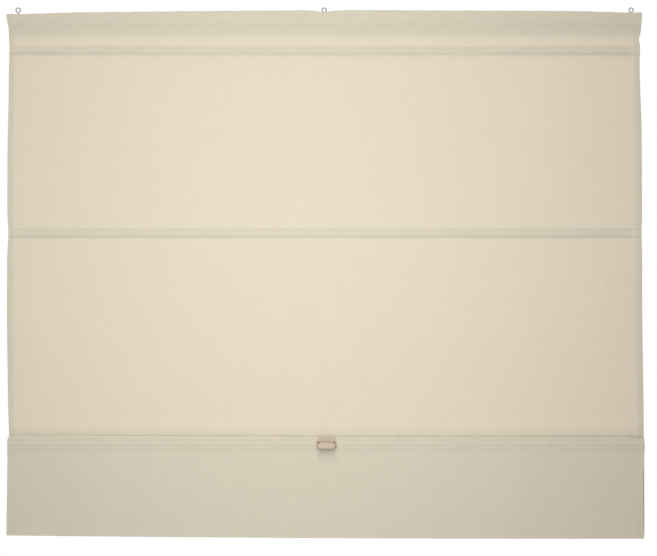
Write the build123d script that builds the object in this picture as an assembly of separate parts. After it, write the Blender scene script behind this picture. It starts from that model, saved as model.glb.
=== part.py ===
from build123d import *
from math import pi
import os

# A cordless roman blind, 1400 mm wide, raised by one pleat.
# Millimetres. X runs across the blind, +Z is up, and the room side is -Y.
# The origin is on the flat back of the header pocket, at mid-height of the batten.

# ---- driving dimensions of the cloth ----
CLOTH_WIDTH = 1400.0
CLOTH = 0.8  # thickness of the woven cloth
STRIP = 0.5  # thickness of the lighter pocket tape
SIDE_HEM = 18.0
BOTTOM_HEM = 6.0
HEADER_SEAM = -17.0  # height where the header pocket closes under the batten
FLAP_END = -39.5  # height of the lower edge of the flap behind that seam
HEADER_TOP = 12.5  # height of the cloth's top edge
HEADER_SLANT = 7.0  # height in which the pocket closes onto its seam, behind
HEADER_FRONT_SLANT = 7.2
ROD_1_DROP = 83.0  # each drop is measured down the cloth from its top edge
ROD_2_DROP = 486.5
PITCH = 457.5  # rod 2 to rod 3
LAST_PITCH = 450.0  # rod 3 to the bottom rail, along the slack loop
SKIRT = 210.5  # bottom rail to the hem's lower edge
POCKET_REACH = 12.0  # how far above a rod its cloth panel starts
RAIL_LIFT = 12.0  # how far in front of the cloth plane the raised rail hangs

# ---- driving dimensions of the hard pieces ----
BATTEN = (1380.0, 12.0, 20.0)
EYES = {"left": -675.0, "centre": 0.0, "right": 677.0}
EYE_WIRE = 1.0  # radius of the wire
EYE_RING = 4.85  # radius to the middle of the wire
EYE_RISE = 7.35  # ring's centre above the cloth's top edge
EYE_NECK = 7.15  # from the ring's centre down to where it closes onto its shank
SHANK = 0.9
SHANK_END = -4.0
ROD = (1350.0, 1.5, 12.0)
ROD_CAP = (12.0, 2.9, 13.0)
CAP_WALL = 2.0
RAIL = (1352.0, 5.5, 14.0)
RAIL_WALL = 1.2
RAIL_LIP = 2.0
RAIL_CAP_FLANGE = 3.0
RAIL_PLUG = 14.0
MAGNET_RADIUS = 5.0
MAGNET_THICK = 1.5
RAIL_MAGNET_THICK = 3.0
SCREW_X = 17.5  # from the handle's middle
SCREW_RADIUS = 1.5
SCREW_HEAD = 2.2
SCREW_HEAD_THICK = 1.2
HANDLE_X = 5.0  # the handle sits a little to the right of the blind's middle
HANDLE_TOP = 13.0  # all handle heights are measured from the rail's middle
HANDLE_TOP_HALF = 17.0  # half its width at the top
HANDLE_HALF = 22.0  # and at its widest
HANDLE_SHOULDER = 3.0
HANDLE_BOTTOM = -15.3
HANDLE_CORNER = 8.5
HANDLE_TOP_CORNER = 3.0
HANDLE_EDGE = 0.6
HANDLE_WALL = 1.8
CUP_RIM = 0.0
CUP_TOP_HALF = 13.5  # half its width at the rim, where it passes between the screws
CUP_HALF = 20.3
CUP_SHOULDER = 6.5  # how far below the rim it reaches its full width
CUP_CORNER = 7.8
CUP_EDGE = 4.0
CUP_DEPTH = 16.0
NUT_PLATE = (48.0, 2.0, 9.0)
FIT = 0.1  # clearance between a hard piece and its cloth

# ---- places that follow ----
FRONT = -BATTEN[1] / 2 - FIT - CLOTH - CLOTH / 2  # front face of the hanging cloth
BACK = FRONT + CLOTH
MID_BATTEN = -CLOTH - FIT - BATTEN[1] / 2
POCKET_FRONT = -2 * CLOTH - 2 * FIT - BATTEN[1]
EYE_CENTRE = HEADER_TOP + EYE_RISE
EYE_POINT = EYE_CENTRE - EYE_NECK
Z_ROD = [HEADER_TOP - drop for drop in (ROD_1_DROP, ROD_2_DROP, ROD_2_DROP + PITCH)]
Z_RAIL = Z_ROD[2]  # the raised rail hangs level with rod 3
ROD_FRONT = BACK + FIT + (ROD_CAP[1] - ROD[1]) / 2
ROD_BACK = ROD_FRONT + ROD[1]
STRIP_BACK = ROD_BACK + MAGNET_THICK + FIT + STRIP
RAIL_FRONT = BACK + FIT
RAIL_BACK = RAIL_FRONT + RAIL[1]
RAIL_STRIP_BACK = RAIL_BACK + FIT + STRIP
STRIP_LENGTH = CLOTH_WIDTH - 2 * SIDE_HEM
FOLD_START = 9.0  # above the rail's middle, where the cloth turns over the rail
SEAM_REACH = 10.5  # from a rod's middle to the edge of its pocket tape
ROD_POCKET = 7.2  # half the height of a rod's pocket, outside
RAIL_POCKET = 7.7
LOOP_BULGE = 4.6  # how far the rising layer of the loop stays behind the skirt
TURN_RADIUS = 3.6  # inner radius of the turn at the loop's bottom
OVER_RADIUS = 4.0  # outer radius of the fold over the rail
LEAN_END = 25.0  # below the rail's middle, where the rising layer goes upright
LEAN_RADIUS = 60.0
TAPE_SLANT = 0.6
SCREWS = (HANDLE_X - SCREW_X, HANDLE_X + SCREW_X)
MAGNET_X = {"left": -520.0, "centre": 0.0, "right": 520.0}
RAIL_MAGNET_X = {"left": -520.0, "inner_left": -60.0, "inner_right": 60.0, "right": 520.0}


def block(x, y, z):
    """A box from its three (low, high) spans."""
    size = [high - low for low, high in (x, y, z)]
    middle = [(high + low) / 2 for low, high in (x, y, z)]
    return Pos(*middle) * Box(*size)


def ribbon(path, thickness, x_low, x_high, side=Side.LEFT):
    """A sheet whose section is a path in Y and Z, thickened on one side, run along X."""
    face = Face(path.offset_2d(thickness, side=side))
    return Pos(x_low, 0, 0) * extrude(Plane.YZ * face, x_high - x_low, dir=(1, 0, 0))


def rounded(points, radii):
    """A path of straight runs joined by tangent arcs."""
    return Wire(FilletPolyline(*points, radius=radii).edges())


def hems(z_low, z_high, y_back):
    """The turned-in layer behind the cloth's two side edges."""
    half = CLOTH_WIDTH / 2
    left = block((-half, -half + SIDE_HEM), (y_back, y_back + CLOTH), (z_low, z_high))
    return left + mirror(left, Plane.YZ)


def flat_panel(z_low, z_high, shift=0.0):
    """A hanging length of cloth with its side hems, moved forward by shift."""
    half = CLOTH_WIDTH / 2
    sheet = block((-half, half), (FRONT - shift, BACK - shift), (z_low, z_high))
    return sheet + hems(z_low, z_high, BACK - shift)


def batten():
    """The timber slat in the header pocket, bored for the three screw eyes."""
    slat = Pos(0, MID_BATTEN, 0) * Box(*BATTEN)
    slat = fillet(slat.edges().filter_by(Axis.X), 1.5)
    bore_low = SHANK_END - 1.0
    for x in EYES.values():
        depth = BATTEN[2] / 2 - bore_low
        slat -= Pos(x, MID_BATTEN, bore_low + depth / 2) * Cylinder(SHANK + 0.05, depth)
    return slat


def screw_eye(x):
    """A wire ring drawn to a point where it closes onto its screw shank."""
    half_angle = degrees_of(EYE_RING / EYE_NECK)
    start = -90.0 + (90.0 - half_angle)
    bow = CenterArc((0, 0), EYE_RING, start, 360.0 - 2 * (90.0 - half_angle))
    section = Plane(origin=bow @ 0, z_dir=bow % 0) * Circle(EYE_WIRE)
    eye = sweep(section, path=bow)
    for end in (bow @ 0, bow @ 1):
        leg = Line(end, (0, -EYE_NECK))
        eye += sweep(Plane(origin=leg @ 0, z_dir=leg % 0) * Circle(EYE_WIRE), path=leg)
    eye += Pos(0, -EYE_NECK) * Sphere(EYE_WIRE)
    eye = Plane.XZ.offset(-MID_BATTEN) * Pos(0, EYE_CENTRE) * eye
    shank_length = EYE_POINT - SHANK_END
    eye += Pos(0, MID_BATTEN, EYE_POINT - shank_length / 2) * Cylinder(SHANK, shank_length)
    return Pos(x, 0, 0) * eye


def degrees_of(sine):
    """The angle in degrees whose sine is given."""
    return Vector(1, 0, 0).get_angle(Vector((1 - sine * sine) ** 0.5, sine, 0))


def cloth_header():
    """The top of the cloth: round the batten, closed under it by a seam, and down past rod 1."""
    low, high = -CLOTH_WIDTH / 2, CLOTH_WIDTH / 2
    seam = BACK + CLOTH  # outer face of the flap where it is sewn down
    over = rounded(
        [(seam, FLAP_END), (seam, HEADER_SEAM), (0, HEADER_SEAM + HEADER_SLANT),
         (0, HEADER_TOP), (POCKET_FRONT, HEADER_TOP), (POCKET_FRONT, 0)],
        [1.5, 2.5, 3.0, 3.0],
    )
    down = rounded(
        [(POCKET_FRONT, 0), (POCKET_FRONT, HEADER_SEAM + HEADER_FRONT_SLANT),
         (FRONT, HEADER_SEAM), (FRONT, Z_ROD[0] - POCKET_REACH)],
        [3.5, 4.0],
    )
    cloth = ribbon(over, CLOTH, low, high) + ribbon(down, CLOTH, low, high)
    cloth += hems(Z_ROD[0] - POCKET_REACH, FLAP_END, BACK)
    for x in EYES.values():
        cloth -= Pos(x, MID_BATTEN, HEADER_TOP) * Cylinder(SHANK + 2 * FIT, 4)
    return cloth


def cloth_loop():
    """The slack pleat: down from rod 3, up behind the rail and over the rail's top edge."""
    rising = RAIL_STRIP_BACK - RAIL_LIFT + 3 * FIT + CLOTH
    skirt_front = FRONT - RAIL_LIFT
    bulge = skirt_front + LOOP_BULGE
    top = Z_RAIL + FOLD_START + OVER_RADIUS + FIT / 2
    turns = pi * (TURN_RADIUS + OVER_RADIUS)
    straight = LAST_PITCH - turns - FOLD_START - (FRONT - bulge - 2 * TURN_RADIUS)
    bottom = Z_RAIL + FOLD_START / 2 - straight / 2 - TURN_RADIUS
    path = rounded(
        [(FRONT, Z_ROD[2] + POCKET_REACH), (FRONT, bottom), (bulge, bottom),
         (rising, Z_RAIL - LEAN_END), (rising, top), (skirt_front, top),
         (skirt_front, Z_RAIL + FOLD_START)],
        [TURN_RADIUS, TURN_RADIUS, LEAN_RADIUS, OVER_RADIUS, OVER_RADIUS],
    )
    print("loop lowest point", round(bottom - CLOTH, 1))
    half = CLOTH_WIDTH / 2
    cloth = ribbon(path, CLOTH, -half, half, Side.RIGHT)
    cloth += hems(bottom + 2 * TURN_RADIUS, Z_ROD[2] + POCKET_REACH, BACK)
    return cloth


def cloth_skirt():
    """The front band below the raised rail, with its side hems and bottom hem."""
    bottom = Z_RAIL - SKIRT
    half = CLOTH_WIDTH / 2
    cloth = flat_panel(bottom, Z_RAIL + FOLD_START, RAIL_LIFT)
    back = BACK - RAIL_LIFT
    cloth += block((-half, half), (back, back + CLOTH), (bottom, bottom + BOTTOM_HEM))
    for x in SCREWS:
        cloth -= Pos(x, back, Z_RAIL) * Rot(90, 0, 0) * Cylinder(SCREW_RADIUS + FIT, 4)
    return cloth


def pocket_strip(z, back, shoulder, top, shift=0.0):
    """A tape sewn behind the cloth along both edges, bulged to hold a rod or the rail."""
    flange = BACK + STRIP
    path = rounded(
        [(flange, -SEAM_REACH), (flange, -shoulder - TAPE_SLANT), (back, -shoulder),
         (back, shoulder), (flange, shoulder + TAPE_SLANT), (flange, top)],
        [0.3, 0.9, 0.9, 0.3],
    )
    half = STRIP_LENGTH / 2
    return Pos(0, -shift, z) * ribbon(path, STRIP, -half, half)


def rod(z):
    """A flat steel rod with softened corners."""
    bar = Pos(0, ROD_FRONT + ROD[1] / 2, z) * Box(*ROD)
    return fillet(bar.edges().filter_by(Axis.X), 0.4)


def rod_cap(z, side):
    """A moulded cap pushed over a rod's end."""
    outer_end = ROD[0] / 2 + CAP_WALL
    middle = (outer_end - ROD_CAP[0] / 2, ROD_FRONT + ROD[1] / 2, z)
    cap = Pos(*middle) * Box(*ROD_CAP)
    cap = fillet(cap.edges(), 0.4)
    cap -= Pos(0, middle[1], z) * Box(ROD[0], ROD[1], ROD[2])
    return mirror(cap, Plane.YZ) if side == "left" else cap


def magnet(x, z, y_front, thickness, shift=0.0):
    """A disc magnet lying flat behind a rod or inside the rail."""
    disc = Pos(x, y_front + thickness / 2 - shift, z) * Rot(90, 0, 0)
    return disc * chamfer(Cylinder(MAGNET_RADIUS, thickness).edges(), 0.2)


def rail():
    """The extruded rail: a channel open to the back, with two small lips."""
    half = RAIL[0] / 2
    y = (RAIL_FRONT - RAIL_LIFT, RAIL_BACK - RAIL_LIFT)
    z = (Z_RAIL - RAIL[2] / 2, Z_RAIL + RAIL[2] / 2)
    channel = fillet(block((-half, half), y, z).edges().filter_by(Axis.X), 0.6)
    inner_z = (z[0] + RAIL_WALL, z[1] - RAIL_WALL)
    channel -= block((-half, half), (y[0] + RAIL_WALL, y[1] - RAIL_WALL), inner_z)
    mouth_z = (inner_z[0] + RAIL_LIP, inner_z[1] - RAIL_LIP)
    channel -= block((-half, half), (y[1] - 2 * RAIL_WALL, y[1] + 1), mouth_z)
    for x in SCREWS:
        place = Pos(x, y[0], Z_RAIL) * Rot(90, 0, 0)
        channel -= place * Cylinder(SCREW_RADIUS + FIT / 2, 3 * RAIL_WALL)
    return channel


def rail_cap(side):
    """A moulded end plug with a flange that covers the rail's end."""
    end = RAIL[0] / 2
    y = (RAIL_FRONT - RAIL_LIFT, RAIL_BACK - RAIL_LIFT)
    z = (Z_RAIL - RAIL[2] / 2, Z_RAIL + RAIL[2] / 2)
    flange = block((end, end + RAIL_CAP_FLANGE), y, z)
    flange = fillet(flange.edges().group_by(Axis.X)[-1], 1.2)
    gap = RAIL_WALL + FIT
    plug = block((end - RAIL_PLUG, end), (y[0] + gap, y[1] - gap), (z[0] + gap, z[1] - gap))
    cap = flange + plug
    return mirror(cap, Plane.YZ) if side == "left" else cap


def handle_outline(top, top_half, wide_half, shoulder, bottom, corner):
    """A face seen from the front: narrow above, widest at the shoulder, rounded below."""
    points = [(-top_half, top), (-wide_half, shoulder), (-wide_half, bottom),
              (wide_half, bottom), (wide_half, shoulder), (top_half, top)]
    face = make_face(Polyline(*points, close=True))
    face = fillet(face.vertices().sort_by(Axis.Y)[:2], corner)
    return fillet(face.vertices().sort_by(Axis.Y)[-2:], HANDLE_TOP_CORNER)


def forward(face, y_back, depth):
    """Run a front-view face towards the room from the plane y = y_back."""
    plate = extrude(Plane.XZ * face, depth)
    return Pos(0, y_back, 0) * plate


def handle():
    """The moulded pull: a plate screwed through the cloth, with a small cup open at the top."""
    plate_face = handle_outline(
        HANDLE_TOP, HANDLE_TOP_HALF, HANDLE_HALF, HANDLE_SHOULDER, HANDLE_BOTTOM, HANDLE_CORNER)
    plate = forward(plate_face, 0, HANDLE_WALL)
    plate = fillet(plate.edges().group_by(Axis.Y)[0], HANDLE_EDGE)
    shoulder = CUP_RIM - CUP_SHOULDER
    cup_face = handle_outline(
        CUP_RIM, CUP_TOP_HALF, CUP_HALF, shoulder, HANDLE_BOTTOM, CUP_CORNER)
    cup = forward(cup_face, 0, CUP_DEPTH)
    cup = fillet(cup.edges().group_by(Axis.Y)[0].sort_by(Axis.Z)[:3], CUP_EDGE)
    # the hollow keeps the cup's slanted sides and runs on above its rim
    run_on = HANDLE_TOP_CORNER + HANDLE_WALL
    slant = (CUP_HALF - CUP_TOP_HALF) / CUP_SHOULDER
    mouth_half = CUP_TOP_HALF - slant * run_on - HANDLE_WALL * (1 + slant * slant) ** 0.5
    hollow_face = handle_outline(
        CUP_RIM + run_on, mouth_half, CUP_HALF - HANDLE_WALL, shoulder,
        HANDLE_BOTTOM + HANDLE_WALL, CUP_CORNER - HANDLE_WALL)
    hollow = forward(hollow_face, -HANDLE_WALL, CUP_DEPTH - 2 * HANDLE_WALL)
    body = plate + (cup - hollow)
    for side in (-1, 1):
        place = Pos(side * SCREW_X, 0, 0) * Rot(90, 0, 0)
        body -= place * Cylinder(SCREW_RADIUS + FIT, 3 * HANDLE_WALL)
    return Pos(HANDLE_X, FRONT - RAIL_LIFT, Z_RAIL) * body


def handle_screw(x):
    """A pan-head screw through the handle, the cloth, the rail and the nut plate."""
    head_y = FRONT - RAIL_LIFT - HANDLE_WALL
    tip_y = RAIL_FRONT - RAIL_LIFT + RAIL_WALL + 2.4
    length = tip_y - head_y
    shank = Pos(x, (tip_y + head_y) / 2, Z_RAIL) * Rot(90, 0, 0) * Cylinder(SCREW_RADIUS, length)
    head = Rot(90, 0, 0) * Cylinder(SCREW_HEAD, SCREW_HEAD_THICK)
    head = fillet(head.edges().sort_by(Axis.Y)[0], 0.6)
    head -= Pos(0, -SCREW_HEAD_THICK / 2, 0) * Box(2.6, 1.0, 0.7)
    head -= Pos(0, -SCREW_HEAD_THICK / 2, 0) * Box(0.7, 1.0, 2.6)
    return shank + Pos(x, head_y - SCREW_HEAD_THICK / 2, Z_RAIL) * head


def nut_plate():
    """A tapped steel plate inside the rail that takes both handle screws."""
    y = RAIL_FRONT - RAIL_LIFT + RAIL_WALL
    plate = Pos(HANDLE_X, y + NUT_PLATE[1] / 2, Z_RAIL) * Box(*NUT_PLATE)
    for x in SCREWS:
        place = Pos(x, y, Z_RAIL) * Rot(90, 0, 0)
        plate -= place * Cylinder(SCREW_RADIUS + FIT / 2, 6)
    return plate


pieces = {"header_batten": batten(), "cloth_header": cloth_header()}
for side_name, eye_x in EYES.items():
    pieces["screw_eye_" + side_name] = screw_eye(eye_x)

pieces["cloth_panel_upper"] = flat_panel(Z_ROD[1] + POCKET_REACH, Z_ROD[0] - POCKET_REACH)
pieces["cloth_panel_lower"] = flat_panel(Z_ROD[2] + POCKET_REACH, Z_ROD[1] + POCKET_REACH)
pieces["cloth_loop"] = cloth_loop()
pieces["cloth_skirt"] = cloth_skirt()

for index, rod_z in enumerate(Z_ROD, start=1):
    pieces[f"rod_{index}"] = rod(rod_z)
    pieces[f"rod_pocket_{index}"] = pocket_strip(rod_z, STRIP_BACK, ROD_POCKET, SEAM_REACH)
    for side_name in ("left", "right"):
        pieces[f"rod_{index}_cap_{side_name}"] = rod_cap(rod_z, side_name)
    if index > 1:
        for place_name, magnet_x in MAGNET_X.items():
            name = f"rod_{index}_magnet_{place_name}"
            pieces[name] = magnet(magnet_x, rod_z, ROD_BACK, MAGNET_THICK)

pieces["bottom_rail"] = rail()
pieces["rail_pocket"] = pocket_strip(
    Z_RAIL, RAIL_STRIP_BACK, RAIL_POCKET, FOLD_START, RAIL_LIFT)
for side_name in ("left", "right"):
    pieces["rail_cap_" + side_name] = rail_cap(side_name)
for place_name, magnet_x in RAIL_MAGNET_X.items():
    web = RAIL_FRONT + RAIL_WALL
    pieces["rail_magnet_" + place_name] = magnet(
        magnet_x, Z_RAIL, web, RAIL_MAGNET_THICK, RAIL_LIFT)
pieces["handle"] = handle()
pieces["handle_screws"] = Compound([handle_screw(x) for x in SCREWS])
pieces["handle_nut_plate"] = nut_plate()

os.makedirs("parts", exist_ok=True)
for piece_name, piece in pieces.items():
    export_step(piece, f"parts/{piece_name}.step")
print(len(pieces), "pieces")
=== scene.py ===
# %% [markdown]
# # A cordless roman blind
# One sheet of plain-woven cotton hangs from a timber slat by three wire screw eyes.
# Flat steel rods lie in tape pockets behind the sheet, and a light rail ends the last
# pleat, with a skirt of cloth below it. Here the lowest pleat is raised: the rail hangs
# in front of the third rod, and the slack cloth forms a loop hidden behind the skirt.
# The first cell loads the construction model. Every later piece takes its place from it.

# %% Load the frame
import bpy
import numpy as np
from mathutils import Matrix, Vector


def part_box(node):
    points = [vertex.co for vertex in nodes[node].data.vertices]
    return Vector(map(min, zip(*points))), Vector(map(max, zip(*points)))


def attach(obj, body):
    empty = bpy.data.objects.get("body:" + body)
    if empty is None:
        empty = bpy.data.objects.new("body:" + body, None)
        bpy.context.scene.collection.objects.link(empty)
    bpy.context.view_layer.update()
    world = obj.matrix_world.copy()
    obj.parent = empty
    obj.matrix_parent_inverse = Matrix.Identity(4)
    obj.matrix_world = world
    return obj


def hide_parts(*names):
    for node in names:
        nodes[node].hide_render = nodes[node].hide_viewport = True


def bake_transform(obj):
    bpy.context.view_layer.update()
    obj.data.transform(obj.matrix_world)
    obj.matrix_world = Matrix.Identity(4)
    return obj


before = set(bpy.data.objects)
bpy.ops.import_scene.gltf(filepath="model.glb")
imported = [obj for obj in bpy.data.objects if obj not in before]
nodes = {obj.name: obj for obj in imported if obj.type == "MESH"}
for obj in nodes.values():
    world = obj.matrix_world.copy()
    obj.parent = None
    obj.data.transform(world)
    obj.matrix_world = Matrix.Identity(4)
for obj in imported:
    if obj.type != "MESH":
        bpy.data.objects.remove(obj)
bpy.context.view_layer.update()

MM = 0.001

# %% [markdown]
# ## Where things are
# The heights of the rods, the plane of the cloth and the edges of each length of sheet
# are read from the boxes of the construction nodes, so that the modelled cloth can't
# drift away from the pieces that carry it. Only how the cloth lies between those places
# is chosen, as amounts of a few millimetres.

# %% Read the places
def span(node, axis):
    """Lowest and highest coordinate of a node along one axis."""
    low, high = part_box(node)
    return low[axis], high[axis]


def middle(node, axis):
    """Half-way between a node's two faces along one axis."""
    return sum(span(node, axis)) / 2


ACROSS, DEPTH, HEIGHT = 0, 1, 2
CLOTH = 0.8 * MM
TAPE = 0.5 * MM
half_width = span("cloth_header", ACROSS)[1]
sheet_y = span("cloth_panel_upper", DEPTH)[0] + CLOTH / 2
band_y = span("cloth_skirt", DEPTH)[0] + CLOTH / 2
rod_z = [middle(f"rod_{number}", HEIGHT) for number in (1, 2, 3)]
rail_z = middle("bottom_rail", HEIGHT)
header_low, top_edge = span("cloth_header", HEIGHT)
pocket_front, pocket_back = span("cloth_header", DEPTH)
hem_low, fold_start = span("cloth_skirt", HEIGHT)
upper_low, lower_low, loop_low = (span(f"cloth_{part}", HEIGHT)[0]
                                  for part in ("panel_upper", "panel_lower", "loop"))
print("rods at", [round(z, 4) for z in rod_z], "rail at", round(rail_z, 4))

# %% [markdown]
# ## Colour and node helpers
# Colours are written as the hex values a designer would pick from a screen. Blender
# works in linear light, so one function turns the first into the second. One more
# function adds a shader node with its settings and its links.

# %% Helpers for materials
def paint(hex_colour):
    """A screen colour as linear red, green, blue and alpha."""
    screen = np.array([int(hex_colour[i:i + 2], 16) for i in (1, 3, 5)]) / 255
    linear = np.where(screen <= 0.04045, screen / 12.92, ((screen + 0.055) / 1.055) ** 2.4)
    return (*linear, 1.0)


def add_node(tree, kind, inputs=None, **settings):
    """Adds a shader node. inputs maps a socket to a value or a source; settings are its properties."""
    node = tree.nodes.new("ShaderNode" + kind)
    for name, value in settings.items():
        setattr(node, name, value)
    for socket, source in (inputs or {}).items():
        if isinstance(source, bpy.types.NodeSocket):
            tree.links.new(source, node.inputs[socket])
        else:
            node.inputs[socket].default_value = source
    return node


def blank_material(name):
    """A new material with an empty node tree and its output node."""
    material = bpy.data.materials.new(name)
    material.use_nodes = True
    tree = material.node_tree
    tree.nodes.clear()
    return material, tree, tree.nodes.new("ShaderNodeOutputMaterial")


print("white is", paint("#FFFFFF"))

# %% [markdown]
# ## The cloth: plain-woven unbleached cotton
# A plain weave passes each thread over one and under the next, so the surface is a
# checker of small rounded floats. Thread spacing on this weight of cloth is about
# 0.6 mm. A picture of the whole blind can't show that, so a second, wider pattern
# draws the slubs: places where a hand-spun looking thread runs thick for 20 to 60 mm.
# The pattern reads the piece's own UV map, laid out in metres along and across the
# sheet, so it follows the cloth round every fold. Some light passes through
# cotton, and single layers glow more than hems do: that is the translucent share.

# %% Woven materials
def woven(name, colour, shade, thread, through, weave_depth):
    """Plain weave. Two crossed sine bands make the threads; stretched noise makes the slubs."""
    material, tree, output = blank_material(name)
    place = add_node(tree, "UVMap", uv_map="cloth")
    # one wave per thread; drawn at the real spacing, so it only shows close up
    scaled = add_node(tree, "Mapping", {"Vector": place.outputs[0],
                                        "Scale": (1 / thread, 1 / thread, 1)})
    turns = {"Scale": np.pi / 10, "Distortion": 0.0}
    warp = add_node(tree, "TexWave", {"Vector": scaled.outputs[0], **turns},
                    bands_direction="X")
    weft = add_node(tree, "TexWave", {"Vector": scaled.outputs[0], **turns},
                    bands_direction="Y")
    floats = add_node(tree, "Math", {0: warp.outputs["Fac"], 1: weft.outputs["Fac"]},
                      operation="ADD")
    # slubs: 45 mm long and 2 mm thick, three times coarser than a real slub so that it shows
    SHORT, LONG = 420, 22  # patterns per metre across and along a thread
    slub = []
    for scale in ((LONG, SHORT, 1), (SHORT, LONG, 1)):
        mapped = add_node(tree, "Mapping", {"Vector": place.outputs[0], "Scale": scale})
        slub.append(add_node(tree, "TexNoise", {"Vector": mapped.outputs[0],
                                                "Scale": 1.0, "Detail": 2.0}))
    slubs = add_node(tree, "Math", {0: slub[0].outputs["Fac"],
                                    1: slub[1].outputs["Fac"]}, operation="ADD")
    spread = add_node(tree, "MapRange", {"Value": slubs.outputs[0],
                                         "From Min": 0.75, "From Max": 1.25})
    # Mix has sockets of the same names for each type of value, so they go in by number
    tone = add_node(tree, "Mix", {0: spread.outputs[0], 6: paint(shade),
                                  7: paint(colour)}, data_type="RGBA")
    fine = add_node(tree, "Bump", {"Height": floats.outputs[0], "Strength": 0.35,
                                   "Distance": weave_depth})
    rough = add_node(tree, "Bump", {"Height": slubs.outputs[0], "Strength": 0.3,
                                    "Distance": 2 * weave_depth,
                                    "Normal": fine.outputs[0]})
    # cotton: no metal, very rough, a faint sheen from loose fibre ends
    face = add_node(tree, "BsdfPrincipled", {
        "Base Color": tone.outputs[2], "Roughness": 0.92, "Specular IOR Level": 0.2,
        "Sheen Weight": 0.15, "Sheen Roughness": 0.5, "Normal": rough.outputs[0]})
    # light that has come through the yarn is a little warmer than light thrown back
    glow = add_node(tree, "BsdfTranslucent", {"Color": paint("#F0DCD6")})
    both = add_node(tree, "MixShader", {"Fac": through, 1: face.outputs[0],
                                        2: glow.outputs[0]})
    tree.links.new(both.outputs[0], output.inputs["Surface"])
    return material


cotton = woven("unbleached cotton, plain woven", "#E4E1CC", "#DFDBC6", 0.6 * MM, 0.34, 0.05 * MM)
pocket_tape = woven("cotton pocket tape", "#E6E0D0", "#DED7C5", 0.4 * MM, 0.34, 0.04 * MM)
print("woven materials:", cotton.name, "|", pocket_tape.name)

# %% [markdown]
# ## Hard finishes
# The wire of the eyes is drawn steel with a dull zinc plating. The rods are steel
# strip with a baked powder coat, the rail is extruded aluminium, which keeps fine lines
# along its length from the die, and the caps are moulded ABS. The slat is pine. The
# magnets are nickel plated. The pull is plastic tinted a warm grey, moulded satin, so it
# takes soft light and hardly shows the cloth behind it.

# %% Metal, timber and plastic
def lined(tree, scale, detail=3.0):
    """Noise on Object coordinates, stretched by a scale for each axis in lines per metre."""
    place = add_node(tree, "TexCoord")
    stretched = add_node(tree, "Mapping", {"Vector": place.outputs["Object"],
                                           "Scale": scale})
    noise = add_node(tree, "TexNoise", {"Vector": stretched.outputs[0], "Scale": 1.0,
                                        "Detail": detail})
    return noise.outputs["Fac"]


def finish(name, light, dark, scale, roughness, metallic=0.0, depth=0.02 * MM, **more):
    """A solid finish: two tones mixed by stretched noise, the same noise as bump and gloss."""
    material, tree, output = blank_material(name)
    noise = lined(tree, scale)
    tone = add_node(tree, "Mix", {0: noise, 6: paint(dark), 7: paint(light)},
                    data_type="RGBA")
    gloss = add_node(tree, "MapRange", {"Value": noise, "To Min": roughness[0],
                                        "To Max": roughness[1]})
    relief = add_node(tree, "Bump", {"Height": noise, "Strength": 0.4,
                                     "Distance": depth})
    shader = add_node(tree, "BsdfPrincipled", {
        "Base Color": tone.outputs[2], "Roughness": gloss.outputs[0], "Metallic": metallic,
        "Normal": relief.outputs[0], **more})
    tree.links.new(shader.outputs[0], output.inputs["Surface"])
    return material


# drawn wire: marks run along the wire, the plating is dull and slightly mottled
zinc_wire = finish("zinc-plated drawn wire", "#8F8D89", "#5C5A56", (900, 900, 300),
                   (0.28, 0.5), metallic=1.0)
# rolled strip under powder coat: an even orange-peel skin about 1 mm across
coated_steel = finish("powder-coated steel strip", "#E6E4DE", "#DAD8D1", (900, 900, 900),
                      (0.4, 0.55), depth=0.03 * MM)
# extrusion: die lines run along X, a fraction of a millimetre apart
extruded = finish("extruded aluminium", "#C9C9C7", "#B4B4B2", (6, 2600, 2600),
                  (0.3, 0.45), metallic=1.0)
# moulded ABS: a fine spark-eroded grain
moulded = finish("moulded white ABS", "#ECEAE4", "#E4E1DA", (1500, 1500, 1500),
                 (0.45, 0.6))
# planed pine: grain runs along X, rings a few millimetres apart
pine = finish("planed pine", "#DDBE8C", "#BF945B", (5, 240, 240), (0.5, 0.65),
              depth=0.08 * MM)
# nickel plate: bright and almost smooth
nickel = finish("nickel plate", "#CFCBC2", "#BDB8AE", (400, 400, 400), (0.15, 0.25),
                metallic=1.0, depth=0.01 * MM)
# zinc plate on the screws and tapped plate, darkened as painted shade: the sunk heads sit in the shade of
# their holes and show as small dark dots
zinc_with_painted_shade = finish("zinc plate with painted shade", "#746C60", "#575147", (1200, 1200, 1200),
                   (0.25, 0.4), metallic=1.0)
# tinted acrylic from a fine-blasted mould: satin, IOR 1.49, little light goes through it
tinted = finish("tinted satin acrylic", "#C0AF97", "#B6A48B", (120, 120, 120),
                (0.38, 0.48), **{"IOR": 1.49, "Transmission Weight": 0.1,
                                 "Coat Weight": 0.1, "Coat Roughness": 0.3})
# spun polyester sewing thread, close to the tone of the cloth
thread_white = finish("spun polyester thread", "#E6DFCC", "#D8CFBA", (2500, 2500, 2500),
                      (0.6, 0.8), depth=0.03 * MM)
print("hard finishes made")

# %% [markdown]
# ## Dressing the construction nodes
# Pieces whose construction shape is already right keep it and only get their finish.
# Each node's own material slots are filled with the new material.

# %% Finish the hard nodes
def finish_of(node):
    """The finish that a hard node gets, by what it is."""
    # the screws and the nut plate take zinc darkened as painted shade for their holes
    choices = {"screw_eye": zinc_wire, "magnet": nickel, "cap": moulded, "batten": pine,
               "bottom_rail": extruded, "screws": zinc_with_painted_shade, "nut_plate": zinc_with_painted_shade,
               "handle": tinted, "rod_": coated_steel}
    return next(choice for word, choice in choices.items() if word in node)


SOFT = ("cloth_", "rod_pocket_", "rail_pocket")
hard_nodes = [name for name in nodes if not name.startswith(SOFT)]
for name in hard_nodes:
    for slot in nodes[name].material_slots:
        slot.material = finish_of(name)
print("finished", len(hard_nodes), "hard nodes")

# %% [markdown]
# ## A section carried across the blind
# Every length of cloth here is a section curve in depth and height, carried straight
# across the width. The curve is straight runs joined by arcs, the way cloth turns round
# a rail. It is resampled so that rows crowd together where a seam or fold needs them.

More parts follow.
